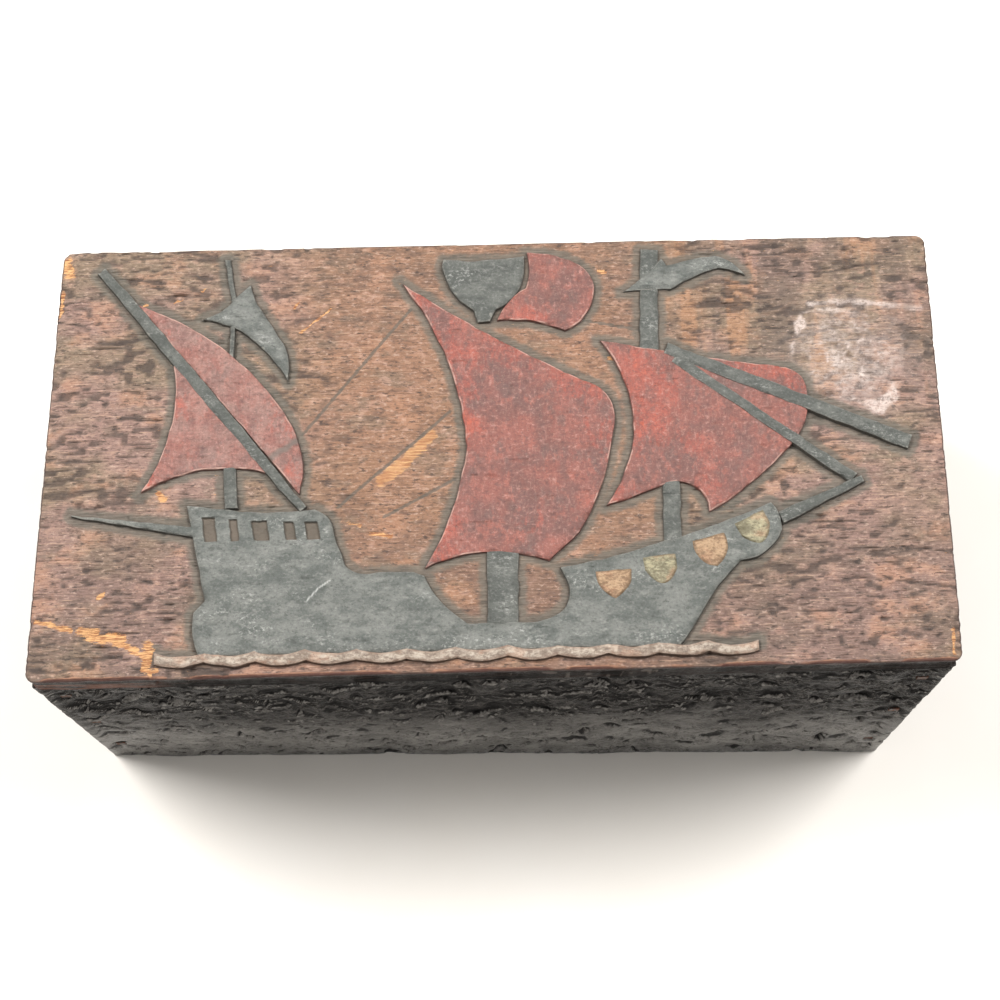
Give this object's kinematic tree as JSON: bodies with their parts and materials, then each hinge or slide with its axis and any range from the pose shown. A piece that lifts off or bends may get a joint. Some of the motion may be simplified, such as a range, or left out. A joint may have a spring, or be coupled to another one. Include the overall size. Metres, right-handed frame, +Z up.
{
  "type": "ditty box",
  "caption": "Rectangular wooden keepsake box with a hinged lid carved in low relief with a sailing ship, nailed plank walls and a rough-hewn dark front.",
  "frame": {"origin": "middle of the underside, level with the surface that the box stands on", "axes": "+X to the right along the front, +Y from the front to the hinged back, +Z up"},
  "size_m": [0.258, 0.1358, 0.1194],
  "materials": {
    "carved_lid": "stained and worn, painted figures",
    "hewn_front": "black varnish over hewn wood",
    "board_wood": "dark stain outside, bare inside",
    "hinge_brass": "aged",
    "nail_iron": "blackened"
  },
  "bodies": {
    "box": {"front_board": "hewn_front", "back_board": "board_wood", "left_end_board": "board_wood", "right_end_board": "board_wood", "bottom_board": "board_wood", "front_nails": "nail_iron", "back_nails": "nail_iron", "bottom_nails": "nail_iron", "hinge_left_body_leaf": "hinge_brass", "hinge_right_body_leaf": "hinge_brass", "hinge_left_pin": "hinge_brass", "hinge_right_pin": "hinge_brass", "body_hinge_screws": "hinge_brass"},
    "lid": {"lid_board": "carved_lid", "hinge_left_lid_leaf": "hinge_brass", "hinge_right_lid_leaf": "hinge_brass", "lid_hinge_screws": "hinge_brass"}
  },
  "joints": [
    {"name": "lid_hinge", "type": "hinge", "parent": "box", "child": "lid", "pos_m": [0, 0.06685, 0.1085], "axis": [-1, 0, 0], "range_deg": [0, 200]}
  ]
}
